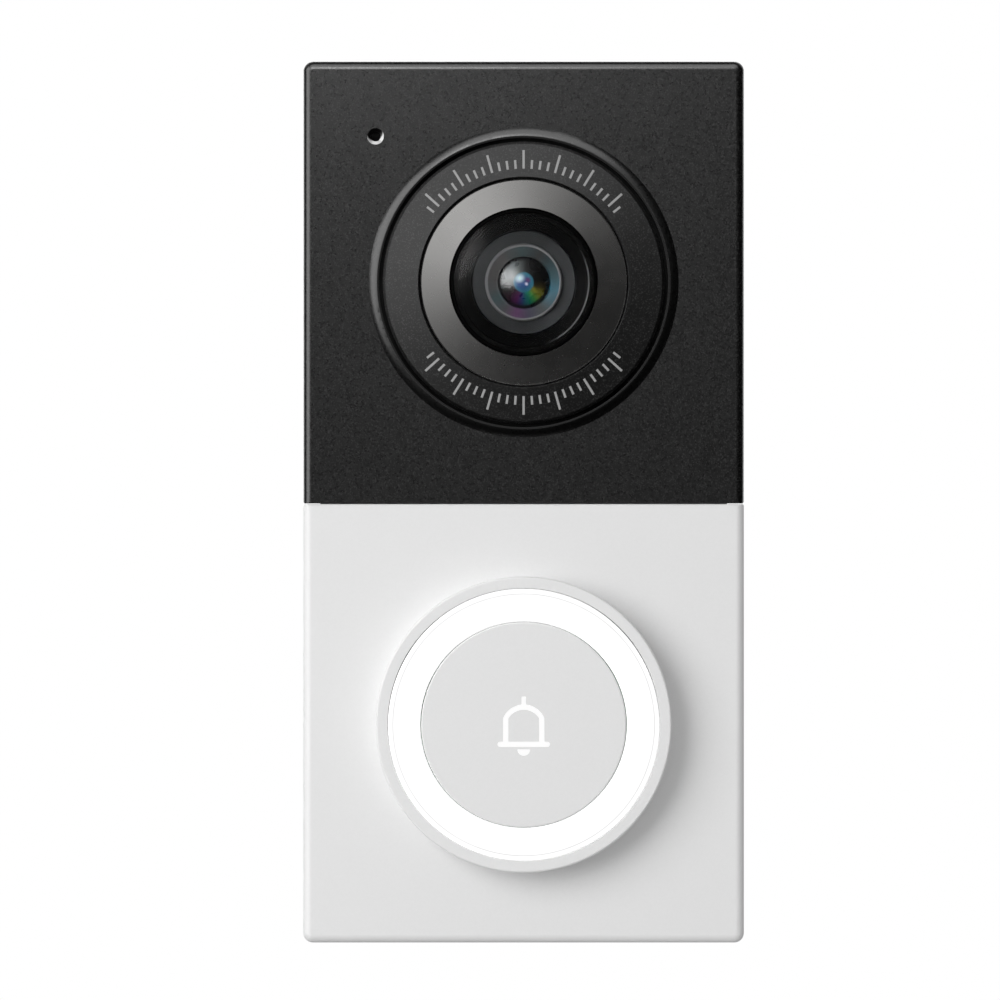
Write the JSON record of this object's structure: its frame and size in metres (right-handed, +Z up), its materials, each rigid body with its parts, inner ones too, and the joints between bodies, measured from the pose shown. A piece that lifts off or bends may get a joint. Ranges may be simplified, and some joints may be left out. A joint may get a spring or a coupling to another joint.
{
  "type": "video doorbell",
  "caption": "Wall-mounted wired video doorbell: camera half over a lit push-button half, on a slide-on wall plate with a locking screw.",
  "frame": {"origin": "centre of the wall plate's back face, which lies on the wall", "axes": "+Z up, the front faces -Y, +X to the right as a visitor sees it"},
  "size_m": [0.05, 0.026, 0.1],
  "materials": {
    "plate_black": "fine-grained black moulded plastic",
    "case_black": "fine-grained satin black",
    "case_white": "smooth satin white",
    "back_black": "dark grained back shell",
    "frame_grey": "glass-filled grey frame",
    "seal_rubber": "soft silicone",
    "flap_rubber": "white elastomer",
    "screw_steel": "zinc-plated",
    "screw_black": "blackened steel",
    "bezel_black": "satin black ring",
    "window_smoke": "metallised smoke, passes infrared",
    "shroud_black": "light-absorbing black",
    "clear_cap": "clear, coated",
    "barrel_black": "satin black",
    "retainer_grey": "anodised grey",
    "lens_glass": "multi-coated",
    "filter_glass": "infrared-cut coated",
    "light_diffuser": "glowing white diffuser",
    "button_white": "smooth satin white",
    "symbol_white": "glowing white inlay",
    "spring_steel": "bright wire",
    "board_green": "solder-masked laminate",
    "lamp_white": "lamp packages",
    "chip_black": "moulded component bodies",
    "shield_steel": "tinned shield cans",
    "cell_blue": "sleeved cell",
    "flex_amber": "polyimide film",
    "stem_black": "switch plunger",
    "speaker_steel": "plated magnet yoke",
    "cone_film": "formed film",
    "mesh_fabric": "acoustic mesh",
    "card_plastic": "blank memory card",
    "terminal_brass": "plated brass",
    "terminal_steel": "zinc-plated",
    "reset_grey": "moulded key"
  },
  "bodies": {
    "wall_mount": {"wall_plate": "plate_black"},
    "unit": {"antenna": "shield_steel", "back_cover": "back_black", "board_components": "chip_black", "button_board": "board_green", "button_flex": "flex_amber", "button_guide": "frame_grey", "button_return_spring": "spring_steel", "button_seal": "seal_rubber", "button_switch": "chip_black", "camera_board": "board_green", "card_socket": "shield_steel", "case_screws": "screw_steel", "case_seal": "seal_rubber", "chassis": "frame_grey", "front_lens": "lens_glass", "image_sensor": "chip_black", "infrared_board": "board_green", "infrared_leds": "lamp_white", "infrared_window": "window_smoke", "inner_lenses": "lens_glass", "lens_barrel": "barrel_black", "lens_bezel": "bezel_black", "lens_dome": "clear_cap", "lens_holder": "frame_grey", "lens_retaining_ring": "retainer_grey", "lens_shroud": "shroud_black", "light_ring": "light_diffuser", "lower_cover": "case_white", "main_board": "board_green", "main_board_screws": "screw_steel", "microphone": "shield_steel", "microphone_boot": "seal_rubber", "microphone_membrane": "mesh_fabric", "processor_shield": "shield_steel", "reset_switch": "chip_black", "ring_leds": "lamp_white", "speaker_frame": "frame_grey", "speaker_magnet": "speaker_steel", "speaker_mesh": "mesh_fabric", "supercapacitor": "cell_blue", "terminal_block": "frame_grey", "terminal_plates": "terminal_brass", "upper_cover": "case_black", "wifi_module": "shield_steel"},
    "clip_screw_carrier": {"security_screw_washer": "screw_steel"},
    "clip_screw": {"security_screw": "screw_black"},
    "button": {"button_cap": "button_white", "bell_insert": "symbol_white"},
    "switch_plunger": {"switch_stem": "stem_black"},
    "day_night_filter": {"ir_filter_carrier": "frame_grey", "ir_filter_glass": "filter_glass"},
    "reset_button": {"reset_key": "reset_grey"},
    "card_flap": {"card_cover": "flap_rubber"},
    "card": {"memory_card": "card_plastic"},
    "speaker_cone": {"speaker_diaphragm": "cone_film"},
    "clamp_left": {"terminal_clamp_left": "terminal_brass"},
    "clamp_right": {"terminal_clamp_right": "terminal_brass"},
    "wire_screw_left": {"terminal_screw_left": "terminal_steel"},
    "wire_screw_right": {"terminal_screw_right": "terminal_steel"}
  },
  "joints": [
    {"name": "unit_lift", "type": "slide", "parent": "wall_mount", "child": "unit", "axis": [0, 0, 1], "range_m": [0, 0.1]},
    {"name": "clip_screw_travel", "type": "slide", "parent": "wall_mount", "child": "clip_screw_carrier", "axis": [0, 0, -1], "range_m": [0, 0.006]},
    {"name": "clip_screw_turn", "type": "hinge", "parent": "clip_screw_carrier", "child": "clip_screw", "pos_m": [0, -0.00415, -0.049], "axis": [0, 0, -1], "range_deg": [0, 4800]},
    {"name": "button_press", "type": "slide", "parent": "unit", "child": "button", "axis": [0, 1, 0], "range_m": [0, 0.0006], "stiffness_N_per_m": 1200, "springref_m": -0.0008, "deforming": ["button_return_spring", "button_seal"]},
    {"name": "switch_press", "type": "slide", "parent": "unit", "child": "switch_plunger", "axis": [0, 1, 0], "range_m": [0, 0.0006]},
    {"name": "filter_slide", "type": "slide", "parent": "unit", "child": "day_night_filter", "axis": [1, 0, 0], "range_m": [0, 0.0055]},
    {"name": "reset_press", "type": "slide", "parent": "unit", "child": "reset_button", "axis": [0, -1, 0], "range_m": [0, 0.0003], "stiffness_N_per_m": 600, "springref_m": -0.0006},
    {"name": "card_flap_hinge", "type": "hinge", "parent": "unit", "child": "card_flap", "pos_m": [-0.0108, -0.0102, -0.0496], "axis": [1, 0, 0], "range_deg": [0, 100]},
    {"name": "card_slide", "type": "slide", "parent": "unit", "child": "card", "axis": [0, 0, -1], "range_m": [-0.0008, 0.002]},
    {"name": "speaker_cone_travel", "type": "slide", "parent": "unit", "child": "speaker_cone", "axis": [0, 0, -1], "range_m": [-0.00025, 0.00025], "stiffness_N_per_m": 500},
    {"name": "clamp_travel_left", "type": "slide", "parent": "unit", "child": "clamp_left", "axis": [0, 1, 0], "range_m": [0, 0.0015]},
    {"name": "wire_screw_turn_left", "type": "hinge", "parent": "clamp_left", "child": "wire_screw_left", "pos_m": [-0.0044, -0.003, 0.005], "axis": [0, 1, 0], "range_deg": [0, 1080]},
    {"name": "clamp_travel_right", "type": "slide", "parent": "unit", "child": "clamp_right", "axis": [0, 1, 0], "range_m": [0, 0.0015]},
    {"name": "wire_screw_turn_right", "type": "hinge", "parent": "clamp_right", "child": "wire_screw_right", "pos_m": [0.0044, -0.003, 0.005], "axis": [0, 1, 0], "range_deg": [0, 1080]}
  ],
  "couplings": [
    {"joint": "clip_screw_turn", "follows": "clip_screw_travel", "rad_per_m": 13963},
    {"joint": "switch_press", "follows": "button_press", "ratio": 1},
    {"joint": "wire_screw_turn_left", "follows": "clamp_travel_left", "rad_per_m": 12566},
    {"joint": "wire_screw_turn_right", "follows": "clamp_travel_right", "rad_per_m": 12566}
  ]
}
